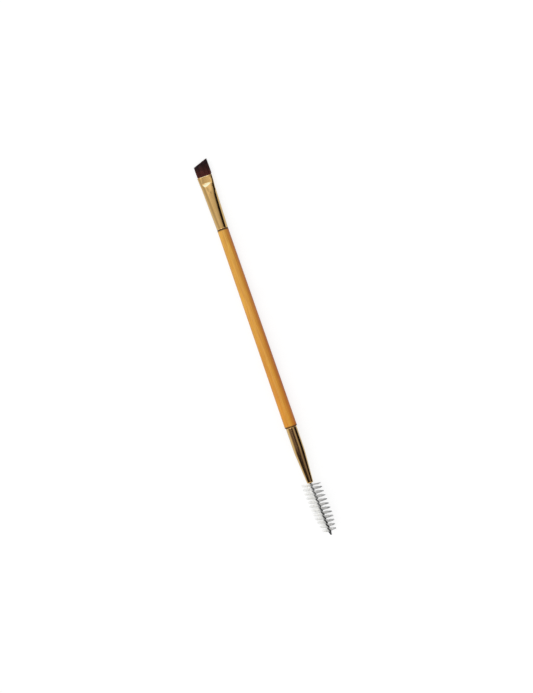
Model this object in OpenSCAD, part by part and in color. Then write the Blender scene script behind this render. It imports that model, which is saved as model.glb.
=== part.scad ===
// Double-ended eyebrow brush, laid on a table with its flat head upward.
// A lacquered wooden handle carries a slant-cut flat brush in a pressed metal
// ferrule at one end, and a twisted-wire spoolie in a tapered ferrule at the other.
// Every piece is drawn along Z, with the rear shoulder of the handle at zero and
// the flat head upward, and is then laid down along X by lay_down().

/* [Handle] */
// Length of the bare shaft between the two ferrules
handle_len = 92; // [60:0.5:140]
// Diameter of the shaft beside the rear ferrule
handle_rear_d = 5.6; // [5:0.05:7]
// Small bevel on both shoulders of the shaft
shoulder_bevel = 0.2; // [0.05:0.05:0.4]
// Length of the tenon inside the front ferrule
front_tenon_len = 8.5; // [4:0.5:10]
// Length of the tenon inside the rear ferrule
rear_tenon_len = 8; // [4:0.5:10]
// Bevel on the buried end of each tenon
tenon_bevel = 0.5; // [0.1:0.1:1]

/* [Front ferrule] */
// Diameter of the round tube that the ferrule is pressed from, flush with the shaft
front_tube_d = 5; // [4.5:0.1:5.6]
// Length of the front ferrule
front_ferrule_len = 24.6; // [21:0.2:32]
// Wall of both ferrules
ferrule_wall = 0.3; // [0.2:0.05:0.4]
// Thickness of the oval neck where the pressed part begins
neck_thickness = 3.72; // [3.2:0.02:4.2]
// Thickness across the two pressed faces at the mouth
mouth_thickness = 2.2; // [2:0.05:2.9]
// Length of the pressed faces behind the mouth
press_len = 3.2; // [2:0.1:5]
// Length of the ramp from the oval neck down to the pressed faces
press_ramp_len = 2; // [1:0.1:3]
// How far the rolled lip of the mouth stands proud
lip_height = 0.06; // [0.02:0.01:0.12]
// Length of the rolled lip
lip_len = 0.5; // [0.3:0.05:0.8]

/* [Brush hair] */
// Visible length of the hair on its long side
hair_long = 7.4; // [5:0.1:11]
// Angle of the slanted cut
hair_cut_angle = 19.5; // [0:0.5:30]
// How far the hair swells out on each side once it is past the mouth
hair_swell = 0.35; // [0:0.05:0.5]
// Length over which it swells
hair_swell_len = 0.45; // [0.2:0.05:1]
// How far the long side of the hair leans in toward the tip
hair_long_side_lean = 0.1; // [0:0.05:0.5]
// How far the short side flares out toward the tip
hair_short_side_flare = 0.05; // [0:0.05:0.5]
// Thickness of the hair at its chisel edge
hair_tip_thickness = 0.8; // [0.4:0.05:1.4]
// Depth of the grooves between locks of hair at the tip
hair_groove = 0.09; // [0.02:0.01:0.15]
// Length of hair held inside the ferrule
hair_root_len = 9; // [6:0.5:9.5]
// Air space between the glue behind the hair and the end of the tenon
hair_glue_air = 0.8; // [0.2:0.1:2]

/* [Rear ferrule] */
// Outer diameter of the straight part of the rear ferrule
rear_tube_d = 4.95; // [4.4:0.05:5]
// Length of the rear ferrule
rear_ferrule_len = 26; // [24:0.5:36]
// Length of its straight part before the taper
rear_straight_len = 11.2; // [10:0.2:14]
// Outer diameter at the nose, before the rounded edge
nose_d = 2.75; // [2.6:0.05:3.2]
// Radius of the rounded edge of the nose
nose_round = 0.5; // [0.3:0.05:0.55]

/* [Spoolie] */
// Diameter of the steel wire, which is folded in two and twisted
wire_d = 0.6; // [0.45:0.05:0.65]
// Length of the wire for one full turn of the twist
twist_pitch = 3.89; // [3:0.01:6]
// Length of wire buried in the rear ferrule, up to its fold
wire_buried_len = 8; // [5:0.5:10]
// Length over which the twist fades out before the fold
untwist_len = 2; // [1:0.5:3]
// Sideways bend of the wire just outside the ferrule
wire_bend_angle = 3; // [0:0.1:6]
// Length of wire over which it bends
wire_bend_len = 2; // [1:0.5:8]
// Length of the glue round the wire in the nose
wire_glue_len = 6; // [3:0.5:8]
// Bare wire between the nose and the first filament
wire_neck_len = 1; // [0.2:0.1:3]
// Length of the wire that carries filaments
bristle_zone_len = 22.5; // [14:0.1:30]
// Length of the zone that keeps the full radius
bristle_full_len = 12.4; // [6:0.1:13]
// Bare cut tip of the wire beyond the last filament
wire_tip_len = 0.8; // [0.5:0.1:3]
// Radius of the spoolie where it is fullest
spoolie_r = 4.4; // [4:0.1:6]
// Radius of the spoolie at its far end
spoolie_end_r = 3.2; // [1.5:0.1:4]
// Distance from the nose to the first row of filaments that points sideways
first_row_at = 1.9; // [0:0.1:4]
// Distance along the wire from one filament to the next
filament_step = 0.156; // [0.12:0.002:0.18]
// Thickness of a filament
filament_d = 0.1; // [0.08:0.01:0.13]
// How far the tip of a filament leans toward the handle
filament_sweep = 0.35; // [0:0.05:0.8]
// Depth of the small flat that the weight presses into the spoolie
rest_flat_depth = 0.3; // [0.2:0.05:0.5]

/* [Fits] */
// Glue gap round each tenon and round the hair in its ferrule
fit_gap = 0.05; // [0.02:0.01:0.1]
// Clearance round the twisted wire in its glue and in the nose
wire_gap = 0.04; // [0.02:0.01:0.1]
// Play on each side of the filaments between the two legs of the wire
grip_play = 0.025; // [0.02:0.005:0.05]

/* [Hidden] */

$fn = 64;
ring_points = 48; // points round a section of the front ferrule
hair_points = 60; // points round a section of the hair, twice the number of locks
wire_sides = 8;
wire_rings_per_turn = 10;
fold_steps = 6;
nose_steps = 6;
taper_steps = 4; // rings between the round end of the front ferrule and its neck
ramp_steps = 4; // rings down the pressed ramp
press_angle = 60; // direction on the oval section where a pressed face ends
root_overlap = 1.25; // height of a filament at its root, in steps
half_circle = 180;
full_circle = 360;

// Front ferrule and what it holds, with places measured along Z
front_r = front_tube_d / 2;
front_start = handle_len;
ramp_start = front_ferrule_len - press_len - press_ramp_len;
press_start = front_ferrule_len - press_len;
mouth_z = front_start + front_ferrule_len;
mouth_oval_b = mouth_thickness / 2 / sin(press_angle);

// Rear ferrule and the wire, with distances measured from the nose outward
rear_r = rear_tube_d / 2;
nose_r = nose_d / 2;
leg_r = wire_d / 2;
leg_offset = leg_r + filament_d / 2 + grip_play;
twisted_r = leg_offset + leg_r;
nose_hole_r = twisted_r + wire_gap;
bristle_end = wire_neck_len + bristle_zone_len;
wire_end = bristle_end + wire_tip_len;
filament_count = floor(bristle_zone_len / filament_step);

// How the brush lies: on the rear edge of the front ferrule and on the spoolie
rest_r = spoolie_r - rest_flat_depth;
rest_at = wire_neck_len + bristle_full_len / 2;
rest_span = handle_len + rear_ferrule_len + rest_at;
rest_slope = (rest_r - front_r) / rest_span;
rest_tilt = atan(rest_slope);
lift = front_r * cos(rest_tilt) + handle_len * sin(rest_tilt);
head_reach = (mouth_z + hair_long) * cos(rest_tilt);
tail_reach = (rear_ferrule_len + wire_end) * cos(rest_tilt);
end_shift = (tail_reach - head_reach) / 2;
side_shift = (wire_offset(wire_neck_len) + wire_offset(wire_neck_len + bristle_full_len)) / 2;

module lay_down() {
    translate([end_shift, side_shift, lift])
        rotate([0, 90 + rest_tilt, 0])
            children();
}

// Distance from the axis of the handle down to the table, at a place along Z
function floor_depth(z) = front_r + (handle_len - z) * rest_slope;

function mix(a, b, share) = a + (b - a) * share;
function clamp(value, low, high) = max(low, min(high, value));
function share_of(value, from, to) = clamp((value - from) / (to - from), 0, 1);
function ease(share) = (1 - cos(half_circle * share)) / 2;

// Skin over a list of rings that have the same number of points. A looped skin
// joins its last ring to its first, and any other skin is closed by its two end rings.
module skin(rings, looped = false) {
    n = len(rings[0]);
    count = len(rings);
    last = looped ? count - 1 : count - 2;
    sides = [
        for (i = [0:last], j = [0:n - 1], upper = [false, true])
            let (a = i * n + j)
            let (b = i * n + (j + 1) % n)
            let (c = (i + 1) % count * n + (j + 1) % n)
            let (d = (i + 1) % count * n + j)
            upper ? [a, d, c] : [a, c, b]
    ];
    ends = looped ? [] : [
        [for (j = [0:n - 1]) j],
        [for (j = [n - 1:-1:0]) (count - 1) * n + j]
    ];
    polyhedron(points = [for (ring = rings) each ring], faces = concat(sides, ends), convexity = 10);
}

// Half thickness of the oval section, at a distance from the rear edge of the ferrule
function oval_b(at) = at <= ramp_start
    ? mix(front_r, neck_thickness / 2, at / ramp_start)
    : mix(neck_thickness / 2, mouth_oval_b,
        sin(90 * share_of(at, ramp_start, front_ferrule_len)));

// Half width of the same section: the girth stays that of the round tube
function oval_a(at) = sqrt(2 * front_r ^ 2 - oval_b(at) ^ 2);

// Half distance between the press faces, where they reach the tube
function press_half(at) =
    mix(neck_thickness / 2, mouth_thickness / 2, share_of(at, ramp_start, press_start));
function flat_half(at) = at <= ramp_start ? oval_b(at) : min(oval_b(at), press_half(at));

// Ring of the ferrule, grown by an offset
function ferrule_ring(at, offset, points) = [
    for (i = [0:points - 1])
        let (angle = full_circle * i / points)
        let (flat = flat_half(at) + offset)
        [
            clamp((oval_b(at) + offset) * cos(angle), -flat, flat),
            (oval_a(at) + offset) * sin(angle),
            front_start + at
        ]
];

taper_stations = [for (i = [0:taper_steps - 1]) ramp_start * i / taper_steps];
ramp_stations = [for (i = [0:ramp_steps]) mix(ramp_start, press_start, i / ramp_steps)];
lip_start = front_ferrule_len - lip_len;
body_stations = concat(taper_stations, ramp_stations, [lip_start]);

module front_ferrule() {
    outer = concat(
        [for (at = body_stations) ferrule_ring(at, 0, ring_points)],
        [
            ferrule_ring(lip_start + lip_len * 0.3, lip_height, ring_points),
            ferrule_ring(lip_start + lip_len * 0.8, lip_height, ring_points),
            ferrule_ring(front_ferrule_len, 0, ring_points)
        ]
    );
    inner_stations = concat(body_stations, [front_ferrule_len]);
    inner = [
        for (i = [len(inner_stations) - 1:-1:0])
            ferrule_ring(inner_stations[i], -ferrule_wall, ring_points)
    ];
    color([0.80, 0.66, 0.36])
        lay_down()
            skin(concat(outer, inner), looped = true);
}

// Half width of the hair toward one side, at a share of its visible length
hair_mouth_a = oval_a(front_ferrule_len) - ferrule_wall - fit_gap;
swell_share = hair_swell_len / hair_long;
function hair_swelled_a(share) = hair_mouth_a + hair_swell * min(share / swell_share, 1);
function hair_long_a(share) = hair_swelled_a(share) - hair_long_side_lean * share;
function hair_short_a(share) = hair_swelled_a(share) + hair_short_side_flare * share;
function hair_b(share) =
    mix(flat_half(front_ferrule_len) - ferrule_wall - fit_gap, hair_tip_thickness / 2, share);
function hair_cut_z(y) = mouth_z + hair_long - (y + hair_long_a(1)) * tan(hair_cut_angle);

// Ring of the visible hair. Every second point sinks to form the groove between two locks.
function hair_ring(share) = [
    for (i = [0:hair_points - 1])
        let (angle = full_circle * i / hair_points)
        let (b = hair_b(share))
        let (groove = i % 2 == 0 ? 0 : hair_groove * share)
        let (a = angle < half_circle ? hair_short_a(share) : hair_long_a(share))
        let (x = clamp(b / sin(press_angle) * cos(angle), -b, b))
        let (y = a * sin(angle))
        [
            x - sign(x) * min(groove, abs(x) / 2),
            y,
            mix(mouth_z, hair_cut_z(y), share)
        ]
];

module hair_tuft() {
    buried_stations = [
        for (at = concat([front_ferrule_len - hair_root_len], ramp_stations))
            if (at >= front_ferrule_len - hair_root_len) at
    ];
    buried = [
        for (at = buried_stations) ferrule_ring(at, -ferrule_wall - fit_gap, hair_points)
    ];
    shown = [for (share = [0, swell_share, 0.35, 0.7, 1]) hair_ring(share)];
    color([0.22, 0.12, 0.11])
        lay_down()
            skin(concat(buried, shown));
}

module hair_glue_plug() {
    glue_back = front_tenon_len + hair_glue_air;
    glue_front = front_ferrule_len - hair_root_len;
    color([0.75, 0.68, 0.52])
        lay_down()
            skin([
                for (at = [glue_back, glue_front])
                    ferrule_ring(at, -ferrule_wall - fit_gap, ring_points)
            ]);
}

// The tenons fill their bores but for the glue gap. The front one tapers as its bore thins.
module handle() {
    front_root_r = front_r - ferrule_wall - fit_gap;
    front_end_r = oval_b(front_tenon_len) - ferrule_wall - fit_gap;
    rear_tenon_r = rear_r - ferrule_wall - fit_gap;
    handle_rear_r = handle_rear_d / 2;
    front_end_z = handle_len + front_tenon_len;
    color([0.86, 0.62, 0.25])
        lay_down()
            rotate_extrude()
                polygon([
                    [0, -rear_tenon_len],
                    [rear_tenon_r - tenon_bevel, -rear_tenon_len],
                    [rear_tenon_r, -rear_tenon_len + tenon_bevel],
                    [rear_tenon_r, 0],
                    [handle_rear_r - shoulder_bevel, 0],
                    [handle_rear_r, shoulder_bevel],
                    [front_r, handle_len - shoulder_bevel],
                    [front_r - shoulder_bevel, handle_len],
                    [front_root_r, handle_len],
                    [front_end_r, front_end_z - tenon_bevel],
                    [front_end_r - tenon_bevel, front_end_z],
                    [0, front_end_z]
                ]);
}

// Bore of the rear ferrule at a distance in front of the inside of its nose
nose_inside = rear_ferrule_len - nose_round;
bore_nose_r = nose_r - ferrule_wall;
bore_straight_r = rear_r - ferrule_wall;
function bore_r(at) =
    mix(bore_straight_r, bore_nose_r, share_of(at, rear_straight_len, nose_inside));

module rear_ferrule() {
    nose_edge = [
        for (i = [0:nose_steps])
            let (angle = 90 * i / nose_steps)
            [
                nose_r - nose_round + nose_round * cos(angle),
                -(nose_inside + nose_round * sin(angle))
            ]
    ];
    color([0.80, 0.66, 0.36])
        lay_down()
            rotate_extrude()
                polygon(concat(
                    [[rear_r, 0], [rear_r, -rear_straight_len]],
                    nose_edge,
                    [
                        [nose_hole_r, -rear_ferrule_len],
                        [nose_hole_r, -nose_inside],
                        [bore_nose_r, -nose_inside],
                        [bore_straight_r, -rear_straight_len],
                        [bore_straight_r, 0]
                    ]
                ));
}

module wire_glue_plug() {
    back = nose_inside - wire_glue_len;
    color([0.75, 0.68, 0.52])
        lay_down()
            rotate_extrude()
                polygon([
                    [nose_hole_r, -nose_inside],
                    [bore_nose_r, -nose_inside],
                    [bore_r(back), -back],
                    [nose_hole_r, -back]
                ]);
}

// Line of the twisted wire: straight in the ferrule, then bent aside
function wire_bend(out) = wire_bend_angle * share_of(out, 0, wire_bend_len);
function wire_offset(out) =
    let (bent = clamp(out, 0, wire_bend_len))
    let (slope = wire_bend_angle * PI / half_circle)
    slope * (bent ^ 2 / (2 * wire_bend_len) + max(out - wire_bend_len, 0));

// Place on the wire's line, and the two directions across it
function wire_point(out) = [0, -wire_offset(out), -(rear_ferrule_len + out)];
function wire_across(out) = [0, cos(wire_bend(out)), -sin(wire_bend(out))];
function wire_along(out) = [0, -sin(wire_bend(out)), -cos(wire_bend(out))];

// Turn of the twist, which fades out before the fold
fold_at = -wire_buried_len;
twist_rate = full_circle / twist_pitch;
function twist_fade(out) = max(fold_at + untwist_len - out, 0);
function twist(out) =
    let (fade = twist_fade(out))
    twist_rate * (out - first_row_at + fade ^ 2 / (2 * untwist_len));
function twist_lean(out) =
    atan(leg_offset * twist_rate * PI / half_circle * (1 - twist_fade(out) / untwist_len));

// Ring of wire round a centre, in the plane of two directions, with a flat toward the filaments
function wire_ring(centre, u, v) = [
    for (i = [0:wire_sides - 1])
        let (angle = full_circle * (i + 0.5) / wire_sides)
        centre + leg_r * (cos(angle) * u + sin(angle) * v)
];

// Ring of one leg: side is 1 for the leg that comes in, and -1 for the one that goes out
function leg_ring(out, side) =
    let (turn = twist(out))
    let (x = [1, 0, 0])
    let (y = wire_across(out))
    let (radial = side * (cos(turn) * x + sin(turn) * y))
    let (tangent = side * (cos(turn) * y - sin(turn) * x))
    let (lean = twist_lean(out))
    let (flat = side * (cos(lean) * tangent - sin(lean) * wire_along(out)))
    wire_ring(wire_point(out) + leg_offset * radial, radial, flat);

module core_wire() {
    wire_len = wire_end - fold_at;
    steps = ceil(wire_len / twist_pitch * wire_rings_per_turn);
    leg_in = [for (i = [0:steps]) leg_ring(mix(wire_end, fold_at, i / steps), 1)];
    leg_out = [for (i = [0:steps]) leg_ring(mix(fold_at, wire_end, i / steps), -1)];
    turn = twist(fold_at);
    across = [cos(turn), sin(turn), 0];
    beside = [-sin(turn), cos(turn), 0];
    fold = [
        for (i = [1:fold_steps - 1])
            let (angle = half_circle * i / fold_steps)
            let (u = cos(angle) * across + [0, 0, sin(angle)])
            wire_ring(wire_point(fold_at) + leg_offset * u, u, beside)
    ];
    color([0.36, 0.36, 0.37])
        lay_down()
            skin(concat(leg_in, fold, leg_out));
}

// Radius of the spoolie at a distance from the nose
function bristle_r(out) =
    let (full_end = wire_neck_len + bristle_full_len)
    mix(spoolie_r, spoolie_end_r, ease(share_of(out, full_end, bristle_end)));

// Reach of a filament in one direction: down to the table, or to the spoolie's own radius
function filament_reach(out, turn) =
    let (down = cos(turn))
    let (depth = floor_depth(-(rear_ferrule_len + out) + filament_sweep) - filament_d / 2)
    let (free = bristle_r(out))
    down <= 0 ? free : min(free, depth / down - filament_d / 2);

// One side of a filament, from the wire to its tip
module filament_side(reach) {
    hull() {
        cube([filament_d, filament_d, filament_step * root_overlap], center = true);
        translate([reach - filament_d / 2, 0, filament_sweep])
            cube(filament_d, center = true);
    }
}

// Each filament passes between the legs of the wire, square to the line between them.
// The roots lie tight against each other and hold together as one bundle.
module spoolie_bristles() {
    color([0.90, 0.90, 0.88])
        lay_down()
            for (i = [0:filament_count - 1]) {
                out = wire_neck_len + (i + 0.5) * filament_step;
                for (side = [90, 270]) {
                    turn = twist(out) + side;
                    translate(wire_point(out))
                        rotate([-wire_bend(out), 0, 0])
                            rotate([0, 0, turn])
                                filament_side(filament_reach(out, turn));
                }
            }
}

handle();
front_ferrule();
hair_tuft();
hair_glue_plug();
rear_ferrule();
wire_glue_plug();
core_wire();
spoolie_bristles();
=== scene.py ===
# %% [markdown]
# # A double-ended eyebrow brush
#
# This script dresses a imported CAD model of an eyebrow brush. The brush lies on a pale
# table with its flat head upward. It has a slant-cut flat brush in a pressed gold
# ferrule at one end, a honey-coloured wooden shaft, and a white spoolie on a twisted
# wire in a tapered gold ferrule at the other end.
#
# The CAD model gives every size and place. The cells below rebuild each visible piece
# with finer meshes, because polished metal, single hairs and filaments need them, and
# then give each piece its finish.

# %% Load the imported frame
import math
import random

import bpy
import numpy as np
from mathutils import Matrix, Vector


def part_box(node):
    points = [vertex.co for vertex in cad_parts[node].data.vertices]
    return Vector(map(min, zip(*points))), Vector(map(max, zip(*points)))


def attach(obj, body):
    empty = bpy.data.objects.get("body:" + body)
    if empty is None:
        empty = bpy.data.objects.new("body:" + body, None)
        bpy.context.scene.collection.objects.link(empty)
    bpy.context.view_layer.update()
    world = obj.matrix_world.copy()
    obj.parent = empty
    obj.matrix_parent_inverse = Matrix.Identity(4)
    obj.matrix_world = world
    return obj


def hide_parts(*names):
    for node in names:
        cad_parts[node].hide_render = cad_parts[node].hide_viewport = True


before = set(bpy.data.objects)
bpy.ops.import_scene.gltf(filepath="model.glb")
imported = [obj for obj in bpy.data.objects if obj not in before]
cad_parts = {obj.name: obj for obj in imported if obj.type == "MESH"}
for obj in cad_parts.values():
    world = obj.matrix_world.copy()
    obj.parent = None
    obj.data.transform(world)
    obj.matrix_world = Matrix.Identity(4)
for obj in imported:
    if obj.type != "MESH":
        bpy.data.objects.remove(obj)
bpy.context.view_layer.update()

MM = 0.001
random.seed(17)

# %% [markdown]
# ## How the brush lies
#
# A straight round thing is easiest to draw along its own axis, so every piece here is
# drawn along Z, with zero at the rear shoulder of the shaft, and one matrix then lays
# it down along X. The brush touches the table at the spoolie and at the rear edge of
# the front ferrule, so it lies at a small tilt. The sizes repeat those of the CAD
# model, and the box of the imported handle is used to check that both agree.

# %% Sizes that say how long the brush is and how it lies
shaft_len = 92 * MM
front_r = 5 / 2 * MM
front_len = 24.6 * MM
hair_long = 7.4 * MM
rear_len = 26 * MM
wire_neck = 1 * MM
bristle_zone = 22.5 * MM
bristle_full = 12.4 * MM
wire_tip = 0.8 * MM
wire_end = wire_neck + bristle_zone + wire_tip
wire_bend = math.radians(3)
wire_bend_len = 2 * MM
spoolie_r = 4.4 * MM
rest_flat_depth = 0.3 * MM
print("length in mm", round((rear_len + wire_end + shaft_len + front_len + hair_long) / MM, 1))


# %% The matrix that lays the brush down
def wire_offset(out):
    """Sideways distance of the wire's line, at a distance beyond the ferrule."""
    bent = min(max(out, 0), wire_bend_len)
    return wire_bend * (bent**2 / (2 * wire_bend_len) + max(out - wire_bend_len, 0))


rest_r = spoolie_r - rest_flat_depth
rest_span = shaft_len + rear_len + wire_neck + bristle_full / 2
rest_slope = (rest_r - front_r) / rest_span
tilt = math.atan(rest_slope)
lift = front_r * math.cos(tilt) + shaft_len * math.sin(tilt)
head_reach = (shaft_len + front_len + hair_long) * math.cos(tilt)
tail_reach = (rear_len + wire_end) * math.cos(tilt)
side_shift = (wire_offset(wire_neck) + wire_offset(wire_neck + bristle_full)) / 2
LAY = Matrix.Translation(((tail_reach - head_reach) / 2, side_shift, lift))
LAY = LAY @ Matrix.Rotation(math.pi / 2 + tilt, 4, "Y")
lay_turn = np.array(LAY.to_3x3())
lay_shift = np.array(LAY.to_translation())
print("tilt in degrees", round(math.degrees(tilt), 3))


# %% Places along the laid brush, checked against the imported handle
def laid_x(z):
    """Place along X of a point on the axis."""
    return (LAY @ Vector((0, 0, z))).x


rear_tenon_len = 8 * MM
front_tenon_len = 8.5 * MM
handle_low, handle_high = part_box("handle")
rear_gap = handle_low.x - laid_x(-rear_tenon_len)
front_gap = handle_high.x - laid_x(shaft_len + front_tenon_len)
print("tenons off the CAD by mm", round(rear_gap / MM, 3), round(front_gap / MM, 3))
shaft_rear_x = laid_x(0)
shaft_front_x = laid_x(shaft_len)
wire_nose_x = laid_x(-rear_len)
wire_tip_x = laid_x(-rear_len - wire_end)

# %% [markdown]
# ## Helpers for meshes
#
# Nearly every piece is a skin over a list of rings: a turned shaft, a lofted ferrule
# and a hair differ only in the shape and the path of their rings. One function makes
# the faces, and another makes a whole bundle of thin tubes as one mesh. It also stores
# two numbers on each point: a random tint for its strand, and how far along the strand
# the point lies. The materials read both to vary the colour.

# %% Helpers for numbers
def mix(a, b, share):
    return a + (b - a) * share


def share_of(value, start, end):
    """How far a value is from start to end, between 0 and 1."""
    return min(max((value - start) / (end - start), 0.0), 1.0)


def ease(share):
    """Share with a soft start and a soft end."""
    return (1 - math.cos(math.pi * share)) / 2


# %% Add a piece to the scene
def add_piece(name, points, faces, material):
    """Lay the points down, make a smooth mesh of them and tie it to the frame."""
    placed = np.asarray(points, float) @ lay_turn.T + lay_shift
    mesh = bpy.data.meshes.new(name)
    mesh.from_pydata(placed.tolist(), [], faces)
    mesh.validate()
    mesh.shade_smooth()
    mesh.materials.append(material)
    piece = bpy.data.objects.new(name, mesh)
    bpy.context.scene.collection.objects.link(piece)
    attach(piece, "root")
    print(name, len(mesh.vertices), "points", len(mesh.polygons), "faces")
    return piece


# %% Skins over rings
def skin_faces(rings, size, looped, first=0):
    """Faces between rings of one size. A looped skin joins its last ring to its first."""
    faces = []
    for i in range(rings if looped else rings - 1):
        a, b = first + i * size, first + (i + 1) % rings * size
        for j in range(size):
            k = (j + 1) % size
            faces.append((a + j, a + k, b + k, b + j))
    if not looped:
        last = first + (rings - 1) * size
        faces.append(tuple(first + j for j in reversed(range(size))))
        faces.append(tuple(last + j for j in range(size)))
    return faces


def loft(rings, looped=False):
    """Points and faces of a skin over rings."""
    points = [p for ring in rings for p in ring]
    return points, skin_faces(len(rings), len(rings[0]), looped)


def revolve(profile, segments=160):
    """Points and faces of a closed profile of (radius, place) turned round Z."""
    turns = [2 * math.pi * i / segments for i in range(segments)]
    rings = [[(r * math.cos(t), r * math.sin(t), z) for t in turns] for r, z in profile]
    return loft(rings, looped=True)


# %% Bundles of thin tubes
askew = np.array((0.31, 0.52, 0.79))


def tube_rings(path, radius, turns):
    """Points of the rings round one path. The askew direction, which no path runs along,
    says how each ring is turned."""
    along = np.gradient(path, axis=0)
    along /= np.linalg.norm(along, axis=1)[:, None]
    side = np.cross(along, askew)
    side /= np.linalg.norm(side, axis=1)[:, None]
    other = np.cross(along, side)
    points = []
    for centre, u, v, r in zip(path, side, other, radius):
        points.extend(centre + r * (np.cos(t) * u + np.sin(t) * v) for t in turns)
    return points


def tube_bundle(name, paths, radii, sides, material):
    """One mesh of many thin tubes. Each path is an array of points, with a radius for each."""
    points, faces, tints, alongs = [], [], [], []
    turns = np.arange(sides) * 2 * math.pi / sides
    for path, radius in zip(paths, radii):
        first, tint = len(points), random.random()
        points.extend(tube_rings(path, radius, turns))
        tints.extend([tint] * sides * len(path))
        alongs.extend(np.repeat(np.linspace(0, 1, len(path)), sides))
        faces.extend(skin_faces(len(path), sides, False, first))
    piece = add_piece(name, points, faces, material)
    for title, values in (("strand_tint", tints), ("strand_along", alongs)):
        layer = piece.data.attributes.new(title, "FLOAT", "POINT")
        layer.data.foreach_set("value", values)
    return piece


# %% [markdown]
# ## Helpers for nodes
#
# A material is a small web of nodes, and the plain Blender calls for one node and its
# links take four or five lines. These helpers make a node, fill its inputs and join
# it up in one line, so that a finish reads as a list of what it consists of. Colours
# are given as the 0 to 255 values of a paint program and turned into linear light.

# %% Helpers for nodes
def srgb(red, green, blue):
    """Linear colour from the usual 0 to 255 values."""
    def linear(value):
        value /= 255
        return value / 12.92 if value <= 0.04045 else ((value + 0.055) / 1.055) ** 2.4
    return (linear(red), linear(green), linear(blue), 1.0)


def fill(tree, socket, value):
    """Link another node's output to a socket, or set a plain value on it."""
    if isinstance(value, bpy.types.NodeSocket):
        tree.links.new(value, socket)
    else:
        socket.default_value = value


def add_node(tree, kind, **inputs):
    """Node with its inputs. In their names _ stands for a space."""
    node = tree.nodes.new(kind)
    for title, value in inputs.items():
        fill(tree, node.inputs[title.replace("_", " ")], value)
    return node


def math_node(tree, operation, first, second=0.0, clamp=False):
    node = tree.nodes.new("ShaderNodeMath")
    node.operation = operation
    node.use_clamp = clamp
    fill(tree, node.inputs[0], first)
    fill(tree, node.inputs[1], second)
    return node.outputs[0]


def blend_colours(tree, factor, first, second):
    """Colour between two. The node repeats its socket names, so they are picked by number."""
    node = tree.nodes.new("ShaderNodeMix")
    node.data_type = "RGBA"
    for index, value in ((0, factor), (6, first), (7, second)):
        fill(tree, node.inputs[index], value)
    return node.outputs[2]


def range_to(tree, value, low, high):
    """Map a value from 0 to 1 onto a range."""
    node = add_node(tree, "ShaderNodeMapRange", Value=value, To_Min=low, To_Max=high)
    return node.outputs[0]


# %% Helpers for the place on the object and for numbers stored on strands
def object_place(tree):
    """Place on the object in metres, in the frame of the CAD model."""
    return tree.nodes.new("ShaderNodeTexCoord").outputs["Object"]


def place_parts(tree):
    """The same place as three numbers."""
    return add_node(tree, "ShaderNodeSeparateXYZ", Vector=object_place(tree)).outputs


def stored_number(tree, title):
    node = tree.nodes.new("ShaderNodeAttribute")
    node.attribute_name = title
    return node.outputs["Fac"]


# %% [markdown]
# ## Shared effects
#
# Five effects turn up in more than one finish, so each is a node group that is built
# once and placed with other values:
#
# - `drawn_lines` gives fine lines along the brush, for the fibres of the wood and the
#   faint drawing marks on metal. It is noise that is stretched along the brush.
# - `soft_mottle` gives slow changes over the surface, for uneven lacquer and handling.
# - `place_fade` goes from one value to another with the place along or across the
#   brush. It is a cheap way to say that one end looks different, and to paint shade
#   on one side.
# - `seam_shade` paints shade into a thin band round both joints of the shaft, where
#   the gaps look very dark.
# - `strand_look` turns the two numbers on each hair or filament into masks.
#
# The groups put out only values. The shaders stay in the materials.

# %% Start a node group
def new_group(name, inputs, outputs):
    """Node group with number inputs, given as name: default, and number outputs."""
    group = bpy.data.node_groups.new(name, "ShaderNodeTree")
    for title, default in inputs.items():
        socket = group.interface.new_socket(title, in_out="INPUT", socket_type="NodeSocketFloat")
        socket.default_value = default
    for title in outputs:
        group.interface.new_socket(title, in_out="OUTPUT", socket_type="NodeSocketFloat")
    given = group.nodes.new("NodeGroupInput").outputs
    out = group.nodes.new("NodeGroupOutput").inputs
    return group, given, out


# %% Group: fine lines along the brush
def make_drawn_lines():
    inputs = {"Along": 60.0, "Across": 3000.0, "Detail": 4.0, "Contrast": 1.0}
    group, given, out = new_group("drawn_lines", inputs, ["Lines"])
    parts = place_parts(group)
    stretched = add_node(
        group,
        "ShaderNodeCombineXYZ",
        X=math_node(group, "MULTIPLY", parts["X"], given["Along"]),
        Y=math_node(group, "MULTIPLY", parts["Y"], given["Across"]),
        Z=math_node(group, "MULTIPLY", parts["Z"], given["Across"]),
    )
    noise = add_node(
        group,
        "ShaderNodeTexNoise",
        Vector=stretched.outputs[0], Scale=1.0, Detail=given["Detail"], Roughness=0.62,
    )
    centred = math_node(group, "SUBTRACT", noise.outputs["Fac"], 0.5)
    stronger = math_node(group, "MULTIPLY", centred, given["Contrast"])
    lines = math_node(group, "ADD", stronger, 0.5, clamp=True)
    group.links.new(lines, out["Lines"])
    return group


drawn_lines = make_drawn_lines()
print("group", drawn_lines.name)


# %% Group: slow changes over the surface
def make_soft_mottle():
    inputs = {"Scale": 300.0, "Low": 0.35, "High": 0.65}
    group, given, out = new_group("soft_mottle", inputs, ["Mottle"])
    noise = add_node(
        group, "ShaderNodeTexNoise", Vector=object_place(group), Scale=given["Scale"], Detail=3.0
    )
    spread = add_node(
        group,
        "ShaderNodeMapRange",
        Value=noise.outputs["Fac"], From_Min=given["Low"], From_Max=given["High"],
    )
    group.links.new(spread.outputs[0], out["Mottle"])
    return group


soft_mottle = make_soft_mottle()
print("group", soft_mottle.name)


# %% Group: a value that changes with the place along or across the brush
def make_place_fade():
    inputs = {"From": 0.0, "To": 1.0, "Low": 0.0, "High": 1.0}
    group, given, out = new_group("place_fade", inputs, ["Along", "Across"])
    parts = place_parts(group)
    for title, axis in (("Along", "X"), ("Across", "Y")):
        fade = add_node(
            group,
            "ShaderNodeMapRange",
            Value=parts[axis],
            From_Min=given["From"], From_Max=given["To"],
            To_Min=given["Low"], To_Max=given["High"],
        )
        group.links.new(fade.outputs[0], out[title])
    return group


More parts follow.
